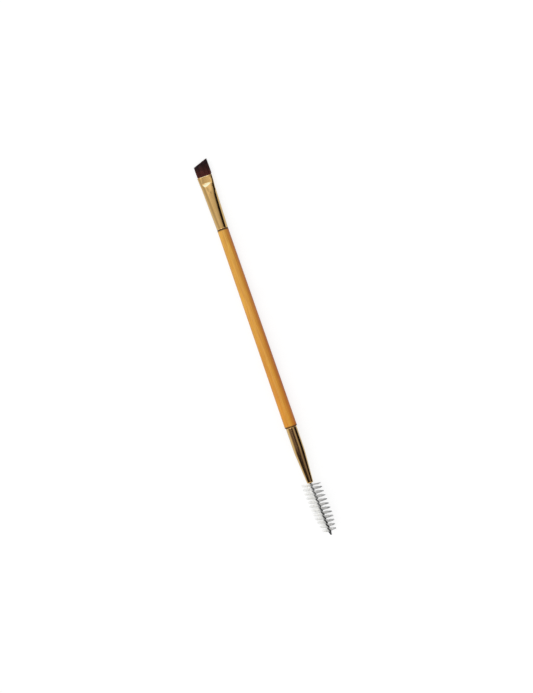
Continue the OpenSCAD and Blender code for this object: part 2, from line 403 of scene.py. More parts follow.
place_fade = make_place_fade()
print("group", place_fade.name)


# %% Group: painted shade round both joints of the shaft
def make_seam_shade():
    group, given, out = new_group("seam_shade", {"Full": 0.0, "Gone": 1 * MM}, ["Mask"])
    place = place_parts(group)["X"]
    bands = []
    for shoulder in (shaft_rear_x, shaft_front_x):
        away = math_node(group, "ABSOLUTE", math_node(group, "SUBTRACT", place, shoulder))
        band = add_node(
            group,
            "ShaderNodeMapRange",
            Value=away,
            From_Min=given["Full"], From_Max=given["Gone"], To_Min=0.9, To_Max=0.0,
        )
        bands.append(band.outputs[0])
    group.links.new(math_node(group, "MAXIMUM", *bands), out["Mask"])
    return group


seam_shade = make_seam_shade()
print("group", seam_shade.name)


# %% Group: the look of one strand among many
def make_strand_look():
    inputs = {"Tip Start": 0.7, "Tip End": 1.0}
    group, given, out = new_group("strand_look", inputs, ["Tint", "Tip"])
    tip = add_node(
        group,
        "ShaderNodeMapRange",
        Value=stored_number(group, "strand_along"),
        From_Min=given["Tip Start"], From_Max=given["Tip End"],
    )
    group.links.new(stored_number(group, "strand_tint"), out["Tint"])
    group.links.new(tip.outputs[0], out["Tip"])
    return group


strand_look = make_strand_look()
print("group", strand_look.name)


# %% Helpers for materials
def new_material(name, **sockets):
    """Material with a Principled shader whose plain numbers are set on its own sockets."""
    material = bpy.data.materials.new(name)
    material.use_nodes = True
    tree = material.node_tree
    shader = tree.nodes["Principled BSDF"]
    for title, value in sockets.items():
        shader.inputs[title.replace("_", " ")].default_value = value
    return material, tree, shader


def use_group(tree, group, **inputs):
    """Place a node group, set its values and hand back its outputs."""
    node = tree.nodes.new("ShaderNodeGroup")
    node.node_tree = group
    for title, value in inputs.items():
        node.inputs[title.replace("_", " ")].default_value = value
    return node.outputs


def finish_shader(tree, shader, colour, rough):
    """Join a colour and a roughness, both from other nodes, to the shader."""
    tree.links.new(colour, shader.inputs["Base Color"])
    tree.links.new(rough, shader.inputs["Roughness"])


def add_bump(tree, shader, height, strength, distance):
    node = add_node(tree, "ShaderNodeBump", Height=height, Strength=strength, Distance=distance)
    tree.links.new(node.outputs[0], shader.inputs["Normal"])


# %% [markdown]
# ## Finish: honey-coloured wood under lacquer
#
# The shaft is pale wood with long, thin, darker fibres, under a clear gloss lacquer.
# A flat orange would look like plastic. Two layers of stretched noise give broad bands
# and fine fibres, and both run along the shaft. The wood is paler toward the head and
# deeper toward the spoolie. It also gets redder and darker toward one side, which is
# painted shade on the side away from the light. Two place fades carry those changes.
# The grooves at both shoulders look nearly black, because shade falls in the gaps, and
# the seam shade paints that shade in. The lacquer is the shader's coat. The wood under
# it is a little rough, and the fibres just show in the bump.

# %% Material: lacquered wood
def make_lacquered_wood():
    material, tree, shader = new_material(
        "lacquered_wood",
        Roughness=0.42, Specular_IOR_Level=0.2, Coat_Weight=0.18, Coat_Roughness=0.12,
    )
    bands = use_group(tree, drawn_lines, Along=16.0, Across=620.0, Detail=2.0, Contrast=2.2)
    fibres = use_group(tree, drawn_lines, Along=70.0, Across=5200.0, Detail=5.0, Contrast=2.8)
    mottle = use_group(tree, soft_mottle, Scale=90.0, Low=0.3, High=0.7)
    head_end = use_group(tree, place_fade, From=shaft_rear_x, To=shaft_front_x)["Along"]
    # Painted shade: the wood turns redder and darker toward -Y, the side away from the light.
    painted_side_shade = use_group(tree, place_fade, From=-0.1 * MM, To=-2.2 * MM, High=0.85)["Across"]
    # Painted shade: a dark band where shade falls in the gaps at both shoulders.
    film_and_seam_shade = use_group(tree, seam_shade, Full=0.28 * MM, Gone=0.7 * MM)["Mask"]
    light_wood = blend_colours(tree, head_end, srgb(223, 167, 42), srgb(225, 181, 76))
    dark_wood = blend_colours(tree, head_end, srgb(212, 138, 26), srgb(217, 163, 56))
    banded = blend_colours(tree, bands["Lines"], light_wood, dark_wood)
    fibre_mask = range_to(tree, fibres["Lines"], 0.7, 0.0)
    grained = blend_colours(tree, fibre_mask, banded, srgb(160, 88, 26))
    # Painted shade toward -Y, blended in as a deep red-brown.
    side_shaded = blend_colours(tree, painted_side_shade, grained, srgb(166, 74, 14))
    warm_mask = range_to(tree, mottle["Mottle"], 0.0, 0.2)
    warmed = blend_colours(tree, warm_mask, side_shaded, srgb(222, 150, 62))
    # Painted shade: the shoulder bands blend to a near-black brown.
    seam_shaded = blend_colours(tree, film_and_seam_shade, warmed, srgb(52, 24, 12))
    rough = range_to(tree, fibres["Lines"], 0.5, 0.36)
    finish_shader(tree, shader, seam_shaded, rough)
    add_bump(tree, shader, fibres["Lines"], 0.12, 0.03 * MM)
    return material


lacquered_wood = make_lacquered_wood()
print("made", lacquered_wood.name)

# %% [markdown]
# ## Finish: polished pale gold
#
# Both ferrules are thin drawn tube with a polished gold finish. What such metal shows
# is mostly the studio round it, so its colour is nearly flat and the cards of the
# studio do the work. Faint drawing lines in the bump and small changes of roughness
# keep the reflections from looking like a computer's perfect mirror. The rims at the
# joints get the same painted shade as the wood, in a much thinner band.

# %% Material: gold metal
def make_gold_metal():
    material, tree, shader = new_material("gold_metal", Metallic=1.0)
    lines = use_group(tree, drawn_lines, Along=45.0, Across=5200.0, Detail=3.0, Contrast=1.8)
    mottle = use_group(tree, soft_mottle, Scale=420.0, Low=0.3, High=0.75)
    # Painted shade: a thin dark band at the rims where shade falls in the joint gaps.
    film_and_seam_shade = use_group(tree, seam_shade, Full=0.08 * MM, Gone=0.3 * MM)["Mask"]
    gold = blend_colours(tree, mottle["Mottle"], srgb(232, 190, 124), srgb(226, 182, 112))
    # Painted shade: the rim bands blend to a dark brown.
    seam_shaded = blend_colours(tree, film_and_seam_shade, gold, srgb(70, 36, 14))
    rough = range_to(tree, mottle["Mottle"], 0.07, 0.11)
    finish_shader(tree, shader, seam_shaded, rough)
    add_bump(tree, shader, lines["Lines"], 0.03, 0.01 * MM)
    return material


gold_metal = make_gold_metal()
print("made", gold_metal.name)

# %% [markdown]
# ## Finish: dark hair
#
# The hair is very dark brown synthetic fibre. It looks reddish near the ferrule and
# nearly black in its outer half, so each hair goes from one brown to the other along
# its length, and each has its own tint in both. The last bit at the cut is a little
# lighter, because light enters the fibre there. A soft sheen is made by a moderate
# roughness, which changes from hair to hair.

# %% Material: dark hair
def make_dark_hair():
    material, tree, shader = new_material("dark_hair", Specular_IOR_Level=0.15)
    cut_end = use_group(tree, strand_look, Tip_Start=0.93, Tip_End=1.0)
    outer_half = use_group(tree, strand_look, Tip_Start=0.4, Tip_End=0.9)
    mottle = use_group(tree, soft_mottle, Scale=700.0, Low=0.3, High=0.7)
    reddish = blend_colours(tree, cut_end["Tint"], srgb(62, 20, 16), srgb(122, 56, 44))
    blackish = blend_colours(tree, cut_end["Tint"], srgb(22, 12, 12), srgb(66, 38, 32))
    brown = blend_colours(tree, outer_half["Tip"], reddish, blackish)
    uneven = range_to(tree, mottle["Mottle"], 0.0, 0.6)
    varied = blend_colours(tree, uneven, brown, srgb(30, 14, 15))
    cut_mask = range_to(tree, cut_end["Tip"], 0.0, 0.4)
    tipped = blend_colours(tree, cut_mask, varied, srgb(96, 58, 50))
    rough = range_to(tree, cut_end["Tint"], 0.36, 0.52)
    finish_shader(tree, shader, tipped, rough)
    return material


dark_hair = make_dark_hair()
print("made", dark_hair.name)

# %% [markdown]
# ## Finish: clear nylon
#
# The filaments are white, half-clear nylon. Real ones pass light on to each other, and
# hundreds of thin clear tubes are slow to trace and noisy. So the nylon is solid here,
# and a faint glow stands in for the light that comes through it. The photograph shows
# the rows grey on one side of the brush, with their tips darker still, as that side
# lies in shade. A place fade paints that shade in as grey toward that side, darkest at
# the tips, and turns the glow off there.

# %% Material: clear nylon
def make_clear_nylon():
    material, tree, shader = new_material(
        "clear_nylon", Specular_IOR_Level=0.3, Emission_Strength=0.15
    )
    look = use_group(tree, strand_look, Tip_Start=0.3, Tip_End=1.0)
    mottle = use_group(tree, soft_mottle, Scale=900.0, Low=0.35, High=0.7)
    shaded = use_group(tree, place_fade, From=1.0 * MM, To=-1.5 * MM, Low=0.15)["Across"]
    white = blend_colours(tree, look["Tint"], srgb(250, 249, 246), srgb(219, 219, 216))
    # Painted shade: grey on the side toward -Y, darkest at the tips.
    shade_toward_tips = math_node(tree, "MAXIMUM", look["Tip"], 0.32)
    painted_shade_mask = math_node(tree, "MULTIPLY", shade_toward_tips, shaded)
    # Painted shade: the shaded filaments blend to a mid grey.
    tipped = blend_colours(tree, painted_shade_mask, white, srgb(96, 97, 97))
    unlit = math_node(tree, "MULTIPLY", shaded, 0.9)
    glow = blend_colours(tree, unlit, tipped, (0, 0, 0, 1))
    tree.links.new(glow, shader.inputs["Emission Color"])
    rough = range_to(tree, mottle["Mottle"], 0.24, 0.4)
    finish_shader(tree, shader, tipped, rough)
    return material


clear_nylon = make_clear_nylon()
print("made", clear_nylon.name)

# %% [markdown]
# ## Finish: drawn steel and glue
#
# The wire is dull grey steel with patches of a grease-dark film. The photograph shows
# it darker toward its tip, so a place fade darkens it along its length. The glue is
# hidden in the ferrules. Only a trace of it can be seen at the nose, but it still gets
# the cloudy amber look of the real thing. The two plugs of glue keep their CAD meshes,
# which already have the right shape.

# %% Material: steel wire
def make_steel_wire():
    material, tree, shader = new_material("steel_wire", Metallic=1.0)
    film_and_seam_shade = use_group(tree, soft_mottle, Scale=1500.0, Low=0.35, High=0.7)
    lines = use_group(tree, drawn_lines, Along=900.0, Across=9000.0, Detail=3.0, Contrast=1.6)
    tip_end = use_group(tree, place_fade, From=wire_nose_x, To=wire_tip_x)["Along"]
    steel = blend_colours(tree, film_and_seam_shade["Mottle"], srgb(158, 158, 158), srgb(116, 116, 116))
    darkened = blend_colours(tree, tip_end, steel, srgb(56, 56, 54))
    rough = range_to(tree, film_and_seam_shade["Mottle"], 0.3, 0.5)
    finish_shader(tree, shader, darkened, rough)
    add_bump(tree, shader, lines["Lines"], 0.15, 0.01 * MM)
    return material


steel_wire = make_steel_wire()
print("made", steel_wire.name)


# %% Material: glue, for the two hidden plugs
def make_glue():
    material, tree, shader = new_material("glue", Subsurface_Weight=0.2)
    cloud = use_group(tree, soft_mottle, Scale=1100.0, Low=0.3, High=0.7)["Mottle"]
    amber = blend_colours(tree, cloud, srgb(206, 190, 146), srgb(176, 156, 106))
    rough = range_to(tree, cloud, 0.25, 0.45)
    finish_shader(tree, shader, amber, rough)
    add_bump(tree, shader, cloud, 0.3, 0.05 * MM)
    return material


glue = make_glue()
for node_name in ("hair_glue_plug", "wire_glue_plug"):
    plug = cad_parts[node_name]
    plug.data.materials.clear()
    plug.data.materials.append(glue)
    print("made", glue.name, "for", node_name)

# %% [markdown]
# ## The wooden shaft
#
# The shaft is a turned piece: a long taper with a tenon at each end. A turned piece is
# a closed profile revolved round its axis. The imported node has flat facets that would
# show in the lacquer, so the shaft is turned again with many more segments and with
# small rounds where the CAD model has bevels. The front tenon tapers with the bore of
# the pressed ferrule, so the sizes of that ferrule come in here. A pinhole along the
# axis, which the ferrules hide, lets the profile close as a ring.

# %% Sizes of the shaft and of what its tenons fit into
shaft_rear_r = 5.6 / 2 * MM
shaft_bevel = 0.2 * MM
pinhole_r = 0.2 * MM
rear_r = 4.95 / 2 * MM
wall = 0.3 * MM
glue_gap = 0.05 * MM
press_len = 3.2 * MM
ramp_len = 2 * MM
ramp_start = front_len - press_len - ramp_len
neck_b = 3.72 / 2 * MM
print("tenons in mm", round(front_tenon_len / MM, 1), round(rear_tenon_len / MM, 1))


# %% Piece: shaft
def arc(centre_r, centre_z, radius, start, end, steps=6):
    """Points of a round edge in a profile, from one direction to another in degrees."""
    angles = [math.radians(mix(start, end, i / steps)) for i in range(steps + 1)]
    return [(centre_r + radius * math.cos(a), centre_z + radius * math.sin(a)) for a in angles]


def make_shaft():
    bevel = shaft_bevel
    rear_tenon_r = rear_r - wall - glue_gap
    front_root_r = front_r - wall - glue_gap
    front_end_r = mix(front_r, neck_b, front_tenon_len / ramp_start) - wall - glue_gap
    body = [
        (mix(shaft_rear_r, front_r, s), mix(bevel, shaft_len - bevel, s))
        for s in np.linspace(0, 1, 40)
    ]
    profile = [
        (rear_tenon_r, -rear_tenon_len),
        (rear_tenon_r, 0),
        *arc(shaft_rear_r - bevel, bevel, bevel, -90, -15),
        *body,
        *arc(front_r - bevel, shaft_len - bevel, bevel, 15, 90),
        (front_root_r, shaft_len),
        (front_end_r, shaft_len + front_tenon_len),
        (pinhole_r, shaft_len + front_tenon_len),
        (pinhole_r, -rear_tenon_len),
    ]
    points, faces = revolve(profile)
    piece = add_piece("shaft", points, faces, lacquered_wood)
    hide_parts("handle")


make_shaft()

# %% [markdown]
# ## The front ferrule: its oval sections
#
# This is the piece that needs the most care. On the bench it starts as a round tube,
# which is pressed oval toward the mouth. Metal hardly stretches when it is pressed, so
# the girth stays the same all the way, and the width of each oval follows from its
# thickness: half the sum of their squares stays the square of the tube's radius. The
# visible neck gets flat a little faster than the CAD model's just before the ramp,
# because the real one's dark reflection bends there.

# %% Oval sections of the front ferrule
mouth_b = 2.2 / 2 * MM
press_angle = math.radians(60)
mouth_oval_b = mouth_b / math.sin(press_angle)
press_at = 20.95 * MM
neck_end = press_at - 0.1 * MM
flatten_from = 16 * MM
neck_extra = 0.15 * MM


def oval_b(at):
    """Half thickness of the oval, at a distance from the rear edge of the ferrule."""
    if at <= ramp_start:
        return mix(front_r, neck_b, at / ramp_start)
    return mix(neck_b, mouth_oval_b, math.sin(math.pi / 2 * share_of(at, ramp_start, front_len)))


def oval_a(at):
    """Half width of the oval: the girth stays that of the round tube."""
    return math.sqrt(2 * front_r**2 - oval_b(at) ** 2)


def skin_b(at):
    """Half thickness of the oval that is seen, which flattens faster before the ramp."""
    neck_at = min(at, neck_end)
    share = max((neck_at - flatten_from) / (neck_end - flatten_from), 0)
    taper_b = mix(front_r, neck_b, neck_at / ramp_start) - neck_extra * share**2
    return mix(taper_b, mouth_oval_b, math.sin(math.pi / 2 * share_of(at, neck_end, front_len)))


def oval_x(at, y):
    """Half thickness of the oval at one point of its width."""
    return skin_b(at) * math.sqrt(max(1 - (y / oval_a(at)) ** 2, 0))


print("mouth in mm", [round(2 * half / MM, 2) for half in (oval_a(front_len), mouth_b)])

# %% [markdown]
# ## The front ferrule: its press faces
#
# A second press flattens the last few millimetres over the hair. Each press face cuts
# the oval off, and where it leaves the oval, a ramp of one slope leads down to the
# face. It shows as a small triangle, which catches the light as it does on the real
# one. The tool came down a little askew, so the corner of the triangle lies to one
# side, and its two edges run at different slopes. The corners of the cut are rounded,
# because sheet metal doesn't bend to a sharp edge, and the faces are slightly dished.

# %% Press faces of the front ferrule
ramp_corner_y = 1.15 * MM
ramp_corner_at = 19.75 * MM
ramp_slope = 0.8
short_edge_slope = 1.4
long_edge_slope = 0.42
press_back_b = mouth_b + 0.1 * MM
dish_depth = 0.1 * MM
dish_len = 0.7 * MM
dish_half_width = 2.3 * MM


def ramp_from(y):
    """Where the ramp starts, at one point of the width."""
    past = y - ramp_corner_y
    later = short_edge_slope * past if past > 0 else -long_edge_slope * past
    return min(ramp_corner_at + later, neck_end)


def press_half(at, y):
    """Half distance between the press faces, ramps included, at one point of the width."""
    start = ramp_from(y)
    top = max(oval_x(start, y), press_back_b)
    if at < start:
        return top + ramp_slope * (start - at)
    ramp_end = max(press_at, start + (top - press_back_b) / ramp_slope)
    face = mix(press_back_b, mouth_b, share_of(at, press_at, front_len))
    pressed = mix(top, face, share_of(at, start, ramp_end))
    dish = dish_depth * ease(share_of(at, press_at, press_at + dish_len))
    return pressed - dish * max(1 - (y / dish_half_width) ** 2, 0)


def soft_limit(value, limit, round_size):
    """Cut a value off at a limit on both sides, with a rounded corner."""
    size = abs(value)
    share = min(max(0.5 + 0.5 * (limit - size) / round_size, 0.0), 1.0)
    cut = mix(limit, size, share) - round_size * share * (1 - share)
    return math.copysign(cut, value)


print("ramp from mm", round(ramp_from(ramp_corner_y) / MM, 2), "to", round(press_at / MM, 2))

# %% [markdown]
# ## The front ferrule: its skin
#
# Each ring is an oval, cut off by the press faces. The rings stand close together from
# just before the ramp to the mouth, where the shape changes fast, and far apart on the
# plain tube. The mouth ends in a rolled lip, which is a small bead round the rim. The
# inside is the same row of rings, one wall further in, and the skin is looped so that
# outside and inside make one closed shell, as real sheet metal does.

# %% Rings and lip of the front ferrule
lip_len = 0.5 * MM
lip_height = 0.08 * MM
rim_round = 0.06 * MM
corner_round = 0.1 * MM
ring_points = 192


def ferrule_ring(at, offset):
    """Ring of the skin, grown outward by an offset."""
    ring = []
    edge = corner_round * share_of(at, ramp_start - 0.8 * MM, ramp_start + 0.3 * MM)
    for i in range(ring_points):
        angle = 2 * math.pi * i / ring_points
        x = (skin_b(at) + offset) * math.cos(angle)
        y = (oval_a(at) + offset) * math.sin(angle)
        if edge > 0:
            x = soft_limit(x, press_half(at, y) + offset, edge)
        ring.append((x, y, shaft_len + at))
    return ring


def lip_bulge(at):
    """How far the rolled lip stands proud at a place: a bead with an oval section."""
    place = 2 * share_of(at, front_len - lip_len, front_len) - 1
    return lip_height * math.sqrt(max(1 - place**2, 0))


# %% Piece: front ferrule
def make_front_ferrule():
    tube = np.linspace(rim_round, ramp_start - 1.5 * MM, 36)
    pressed = np.linspace(ramp_start - 1.45 * MM, front_len - lip_len, 110)
    bead = [front_len - lip_len / 2 * (1 - math.sin(a)) for a in np.linspace(-1.55, 1.2, 18)]
    inside = np.linspace(front_len - rim_round, 0, 24)
    rings = [ferrule_ring(0, -rim_round)]
    rings += [ferrule_ring(at, lip_bulge(at)) for at in (*tube, *pressed, *bead)]
    rings += [ferrule_ring(front_len, -rim_round), ferrule_ring(front_len, rim_round - wall)]
    rings += [ferrule_ring(at, -wall) for at in inside]
    points, faces = loft(rings, looped=True)
    piece = add_piece("pressed_ferrule", points, faces, gold_metal)
    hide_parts("front_ferrule")


make_front_ferrule()

# %% [markdown]
# ## The rear ferrule
#
# The rear ferrule is a spun tube: straight over the tenon, then a gentle taper to a
# rounded nose with a hole for the wire. It is revolved as the shaft is. Where the
# straight part meets the taper, a long soft curve is used, because a hard corner would
# break the reflections. The nose is 0.05 mm fuller than the CAD model's all round.

# %% Profile of the rear ferrule
rear_straight = 11.2 * MM
taper_blend = 4 * MM
nose_r = 2.85 / 2 * MM
nose_round = 0.5 * MM
nose_hole_r = 0.715 * MM
nose_inside = rear_len - nose_round


def rear_outer_r(at):
    """Outer radius at a distance from the joint, with a soft start to the taper."""
    slope = (rear_r - nose_r) / (nose_inside - rear_straight)
    past = at - rear_straight
    if past <= -taper_blend / 2:
        return rear_r
    if past < taper_blend / 2:
        return rear_r - slope * (past + taper_blend / 2) ** 2 / (2 * taper_blend)
    return rear_r - slope * past


# %% Piece: rear ferrule
def make_rear_ferrule():
    outside = [(rear_outer_r(at), -at) for at in np.linspace(rim_round, nose_inside, 70)]
    nose = arc(nose_r - nose_round, -nose_inside, nose_round, 0, -90, 12)
    profile = [
        (rear_r - rim_round, 0),
        *outside,
        *nose[1:],
        (nose_hole_r, -rear_len + 0.05 * MM),
        (nose_hole_r, -nose_inside),
        (nose_r - wall, -nose_inside),
        (rear_r - wall, -rear_straight),
        (rear_r - wall, 0),
    ]
    points, faces = revolve(profile[::-1])
    piece = add_piece("tapered_ferrule", points, faces, gold_metal)
    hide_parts("rear_ferrule")


make_rear_ferrule()

# %% [markdown]
# ## The hair
#
# The head of the brush is a bundle of stiff hairs. A solid block with a hair texture
# shows a hard edge, so single strands are modelled. Their roots are set on a close
# triangular grid inside the mouth of the ferrule, a little shaken, so that they never
# line up. Each one keeps its share of the width and the thickness all the way to the
# slanted cut. The tuft swells as soon as it leaves the ferrule, most on its long side,
# and gets thinner toward the cut. A plain dark core inside the bundle stops light from
# showing between the strands.

# %% Shape of the tuft
cut_slope = math.tan(math.radians(19.5))
hair_mouth_a = oval_a(front_len) - wall - glue_gap
hair_mouth_b = mouth_b - wall - glue_gap
hair_tip_b = 0.4 * MM
mouth_z = shaft_len + front_len


def hair_half_width(share, side):
    """Half width toward one side: +1 is the short side, -1 the long one."""
    full_swell = 0.22 * MM if side > 0 else 0.6 * MM
    swell = full_swell * (1 - math.exp(-share / 0.04))
    lean = 0.05 * MM if side > 0 else -0.1 * MM
    return hair_mouth_a + swell + lean * share


def hair_cut_z(y):
    return mouth_z + hair_long - (y + hair_half_width(1, -1)) * cut_slope


def hair_place(u, v, share):
    """Place of a strand, from its share of the thickness and the width."""
    b = mix(hair_mouth_b, hair_tip_b, share**1.2)
    y = v * hair_half_width(share, v)
    return np.array((u * b, y, mix(mouth_z, hair_cut_z(y), share)))


print("tuft in mm", round((hair_half_width(1, 1) + hair_half_width(1, -1)) / MM, 2), "wide")

# %% Piece: hair strands
hair_step = 0.112 * MM
root_len = 1.6 * MM
strand_shares = (0.0, 0.05, 0.12, 0.3, 0.5, 0.75, 1.0)
strand_radii = np.array((0.052, 0.052, 0.052, 0.052, 0.052, 0.05, 0.046, 0.038)) * MM


def strand_path(u, v):
    """Points of one hair, from its root in the ferrule to its cut end."""
    reach = 1.01 - abs(random.gauss(0, 0.012))
    drift = np.array((random.gauss(0, 0.02), random.gauss(0, 0.03), 0)) * MM
    path = [hair_place(u * 0.97, v * 0.97, 0) - np.array((0, 0, root_len))]
    for share in strand_shares:
        path.append(hair_place(u * 0.97, v * 0.985, share * reach) + drift * share**2)
    return np.array(path)


def make_hair():
    strands = []
    rows = int(2 * hair_mouth_b / (hair_step * 0.87))
    columns = int(2 * hair_mouth_a / hair_step)
    for row in range(rows + 1):
        for column in range(columns + 1):
            u = -1 + 2 * row / rows + random.uniform(-0.05, 0.05)
            v = -1 + 2 * (column + 0.5 * (row % 2)) / columns + random.uniform(-0.012, 0.012)
            u, v = max(-1, min(1, u)), max(-1, min(1, v))
            mouth_u = math.sqrt(max(1 - v**2, 0)) / math.sin(press_angle)
            if abs(u) <= mouth_u + 0.08:
                strands.append(strand_path(u, v))
    radii = [strand_radii] * len(strands)
    piece = tube_bundle("brush_hair", strands, radii, 5, dark_hair)
    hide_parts("hair_tuft")
    print("hairs", len(strands))


make_hair()


# %% Piece: core of the hair
def make_hair_core():
    count = 48
    rings = []
    for share in (-0.35, 0.0, 0.3, 0.6, 0.9):
        buried = min(share, 0) * hair_long
        ring = []
        for i in range(count):
            angle = 2 * math.pi * i / count
            place = hair_place(0.8 * math.cos(angle), 0.86 * math.sin(angle), max(share, 0))
            ring.append((place[0], place[1], place[2] + buried))
        rings.append(ring)
    points, faces = loft(rings)
    add_piece("hair_core", points, faces, dark_hair)


make_hair_core()

# %% [markdown]
# ## The twisted wire
#
# The spoolie's stem is one steel wire, folded in two and twisted. Each leg is a helix
# round a line that is straight in the ferrule and bent a little aside beyond it. A
# tube is swept along each helix. The fold is hidden in the ferrule, so here the legs
# just end inside it, and the cut tips are left square, as the cutter leaves them. The
# legs lie a trace closer together than in the CAD model.

# %% Line and twist of the wire
wire_r = 0.3 * MM
leg_offset = 0.34 * MM
pitch = 3.89 * MM
first_row = 0.55 * MM


def wire_frame(out):
    """Place on the wire's line and the two directions across it."""
    bend = wire_bend * share_of(out, 0, wire_bend_len)
    place = np.array((0, -wire_offset(out), -(rear_len + out)))
    return place, np.array((1, 0, 0)), np.array((0, math.cos(bend), -math.sin(bend)))


def twist(out):
    """Angle of the wire's legs at a distance beyond the ferrule."""
    return 2 * math.pi * (out - first_row) / pitch


print("turns beyond the ferrule", round(wire_end / pitch, 1))


# %% Piece: wire
def make_wire():
    outs = np.linspace(-7.5 * MM, wire_end, 300)
    legs = []
    for side in (1, -1):
        path = []
        for out in outs:
            place, x, y = wire_frame(out)
            turn = twist(out)
            path.append(place + side * leg_offset * (math.cos(turn) * x + math.sin(turn) * y))
        legs.append(np.array(path))
    radii = [np.full(len(outs), wire_r)] * 2
    piece = tube_bundle("twisted_wire", legs, radii, 16, steel_wire)
    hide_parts("core_wire")


make_wire()

# %% [markdown]
# ## The spoolie's filaments
#
# Each filament is one thread that passes between the two legs of the wire and sticks
# out on both sides. Twisting the wire turns the threads into a double spiral, and from
# the side the spiral shows as rows. The CAD model has one filament for every 0.16 mm.
# The real spoolie has many more, so here they are thinner and stand about three times
# as close, and they begin 0.7 mm nearer to the ferrule. Even spacing makes the rows
# too faint, so the turn of each thread is drawn a little toward the middle of its row.
# The rows also lean: a little toward the wire's tip on one side, hardly on the other.
# All threads curve toward the shaft, and their angles and lengths are uneven. Those
# that point down are bent aside by the table, which gives the spoolie its flat spot.
# A thread has a tip at both ends, so the number that says how far along it a point
# lies is folded at the end: 0 at the wire and 1 at both tips.

# %% Shape of the spoolie
filament_r = 0.04 * MM
filament_steps = 8
filaments_from = wire_neck - 0.7 * MM
bristle_end = wire_neck + bristle_zone
spoolie_end_r = 3.2 * MM
tip_side_lean = 0.26
other_side_lean = 0.06
bent_aside = 1.2
thread_shares = np.linspace(-1, 1, 2 * filament_steps + 1)


def bristle_r(out):
    """Radius of the spoolie, which narrows toward the tip of the wire."""
    full_end = wire_neck + bristle_full
    return mix(spoolie_r, spoolie_end_r, ease(share_of(out, full_end, bristle_end)))


def floor_depth(z):
    """Distance from the shaft's axis down to the table."""
    return front_r + (shaft_len - z) * rest_slope


def filament_path(out, turn, sweep, reach, bow):
    """Points of one thread, from one tip through the wire to the other."""
    place, x, y = wire_frame(out)
    across = math.cos(turn) * x + math.sin(turn) * y
    beside = math.cos(turn) * y - math.sin(turn) * x
    points = []
    for share in thread_shares:
        far = abs(share)
        point = place + across * share * reach + beside * bow * share * far
        sideways = point[1] - place[1]
        lean = (tip_side_lean if sideways < 0 else other_side_lean) * sideways
        point = point + np.array((0, 0, sweep * far**3 + lean))
        pressed = point[0] - (floor_depth(point[2]) - filament_r)
        if pressed > 0:
            point = point + np.array((-pressed, 0, bent_aside * pressed))
        points.append(point)
    return np.array(points)


# %% Piece: filaments
def make_filaments():
    count = 480
    row_bunching = 0.2
    paths = []
    for i in range(count):
        out = filaments_from + (i + 0.5) * bristle_zone / count
        turn = twist(out) + math.pi / 2
        turn += row_bunching * math.sin(2 * turn) + random.gauss(0, 0.05)
        sweep = (0.35 + random.gauss(0, 0.08)) * MM
        reach = bristle_r(out) - abs(random.gauss(0, 0.1)) * MM - filament_r
        bow = random.gauss(0, 0.08) * MM
        paths.append(filament_path(out, turn, sweep, reach, bow))
    radii = [filament_r * (1 - 0.25 * np.abs(thread_shares) ** 3)] * count
    piece = tube_bundle("spoolie_filaments", paths, radii, 5, clear_nylon)
    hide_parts("spoolie_bristles")
    return piece


filaments = make_filaments()

# %% Both ends of a thread are tips
along = filaments.data.attributes["strand_along"].data
from_end = np.zeros(len(along))
along.foreach_get("value", from_end)
along.foreach_set("value", np.abs(from_end * 2 - 1))
print("threads run from the wire at 0 to both tips at 1")

# %% [markdown]
# ## The table and the room
#
# The brush was shot on white, so the table and the room are pale. The table glows a
# little, which keeps it an even white with hardly a shadow, as a lit table does. For
# mirror rays it glows less and cooler. That was set until the gold looked as in the
# photograph, and Light Path tells the two kinds of rays apart. The room is brighter on
# the left of the picture, so the shaft darkens toward its right side, and one soft box
# high up on the left adds a soft direction to the light.

# %% Table
def make_table():
    material, tree, shader = new_material(
        "table", Specular_IOR_Level=0.1, Emission_Strength=0.78
    )
    grain = use_group(tree, soft_mottle, Scale=60.0, Low=0.2, High=0.8)["Mottle"]
    pale = blend_colours(tree, grain, srgb(132, 132, 132), srgb(128, 128, 128))
    mirrored = tree.nodes.new("ShaderNodeLightPath").outputs["Is Glossy Ray"]
    glow = blend_colours(tree, mirrored, (1, 1, 1, 1), (0.66, 0.75, 0.9, 1))
    tree.links.new(glow, shader.inputs["Emission Color"])
    finish_shader(tree, shader, pale, range_to(tree, grain, 0.8, 0.9))
    half = 2.0
    mesh = bpy.data.meshes.new("table")
    corners = [(-half, -half, 0), (half, -half, 0), (half, half, 0), (-half, half, 0)]
    mesh.from_pydata(corners, [], [(0, 1, 2, 3)])
    mesh.materials.append(material)
    table = bpy.data.objects.new("table", mesh)
    bpy.context.scene.collection.objects.link(table)
    print("table", 2 * half, "m wide")


make_table()


# %% Room light
def make_room(left, right, top):
    """World that is brighter toward the picture's left, which is +Y."""
    world = bpy.data.worlds.new("room")
    bpy.context.scene.world = world
    world.use_nodes = True
    tree = world.node_tree
    direction = tree.nodes.new("ShaderNodeTexCoord").outputs["Generated"]
    parts = add_node(tree, "ShaderNodeSeparateXYZ", Vector=direction).outputs
    sideways = add_node(
        tree, "ShaderNodeMapRange",
        Value=parts["Y"], From_Min=-0.9, From_Max=0.9, To_Min=right, To_Max=left,
    ).outputs[0]
    upward = add_node(tree, "ShaderNodeMapRange", Value=parts["Z"], From_Min=0.5).outputs[0]
    lifted = math_node(tree, "MULTIPLY", math_node(tree, "SUBTRACT", top, sideways), upward)
    background = tree.nodes["Background"]
    background.inputs["Color"].default_value = (1, 1, 1, 1)
    tree.links.new(math_node(tree, "ADD", sideways, lifted), background.inputs["Strength"])
    print("room light", left, "left", right, "right", top, "top")


make_room(left=1.1, right=0.48, top=0.98)


